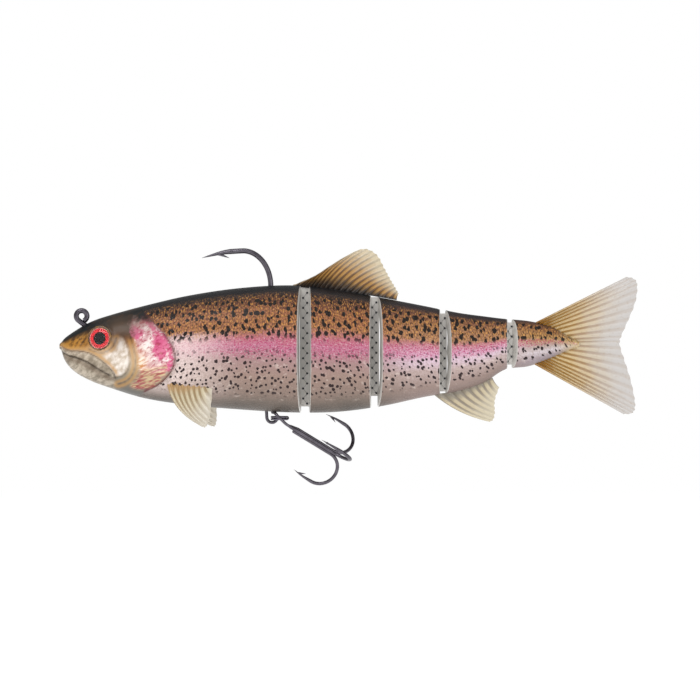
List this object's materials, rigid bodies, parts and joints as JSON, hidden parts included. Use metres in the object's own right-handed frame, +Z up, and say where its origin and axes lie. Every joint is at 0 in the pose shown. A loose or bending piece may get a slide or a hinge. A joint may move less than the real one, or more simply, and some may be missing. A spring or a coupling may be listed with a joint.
{
  "type": "jointed swimbait lure",
  "caption": "Jointed soft trout lure: body lengths hinged on a net web, a jig hook out of the back, glass eyes, fins and a treble hook on a split ring.",
  "frame": {"origin": "centre of the line-tie eye", "axes": "+X from nose to tail, +Y towards the fish's right side, +Z up; the middle plane is Y = 0"},
  "size_m": [0.1803, 0.029, 0.0743],
  "materials": {
    "soft_body": "painted soft plastic, wet look",
    "fin": "translucent soft plastic",
    "net": "fine net in clear plastic",
    "lead": "cast",
    "hook_steel": "black nickel",
    "ring_steel": "nickel",
    "iris": "printed foil",
    "lens": "clear"
  },
  "bodies": {
    "head": {"head_section": "soft_body", "jig_weight": "lead", "jig_hook": "hook_steel", "belly_eyelet": "hook_steel", "eye_iris_left": "iris", "eye_iris_right": "iris", "eye_lens_left": "lens", "eye_lens_right": "lens", "pectoral_fin_left": "fin", "pectoral_fin_right": "fin", "net_panel_1": "net"},
    "section_2": {"body_section_2": "soft_body", "net_panel_2": "net", "dorsal_fin": "fin"},
    "section_3": {"body_section_3": "soft_body", "net_panel_3": "net"},
    "section_4": {"body_section_4": "soft_body", "net_panel_4": "net", "anal_fin": "fin"},
    "tail": {"tail_section": "soft_body", "net_panel_5": "net", "caudal_fin": "fin"},
    "ring": {"split_ring": "ring_steel"},
    "treble": {"treble_double_hook": "hook_steel", "treble_single_hook": "hook_steel"}
  },
  "joints": [
    {"name": "joint_1", "type": "hinge", "parent": "head", "child": "section_2", "pos_m": [0.06995, 0, -0.01], "axis": [0, 0, 1], "range_deg": [-20, 20], "stiffness_Nm_per_rad": 0.003},
    {"name": "joint_2", "type": "hinge", "parent": "section_2", "child": "section_3", "pos_m": [0.0916, 0, -0.01], "axis": [0, 0, 1], "range_deg": [-22, 22], "stiffness_Nm_per_rad": 0.002},
    {"name": "joint_3", "type": "hinge", "parent": "section_3", "child": "section_4", "pos_m": [0.113, 0, -0.01], "axis": [0, 0, 1], "range_deg": [-25, 25], "stiffness_Nm_per_rad": 0.0015},
    {"name": "joint_4", "type": "hinge", "parent": "section_4", "child": "tail", "pos_m": [0.13395, 0, -0.009], "axis": [0, 0, 1], "range_deg": [-34, 34], "stiffness_Nm_per_rad": 0.001},
    {"name": "ring_swing", "type": "hinge", "parent": "head", "child": "ring", "pos_m": [0.05947, 0, -0.03195], "axis": [0, 1, 0], "range_deg": [0, 75]},
    {"name": "treble_swing", "type": "hinge", "parent": "ring", "child": "treble", "pos_m": [0.0621, -0.00258, -0.03195], "axis": [1, 0, 0], "range_deg": [-20, 8]}
  ]
}
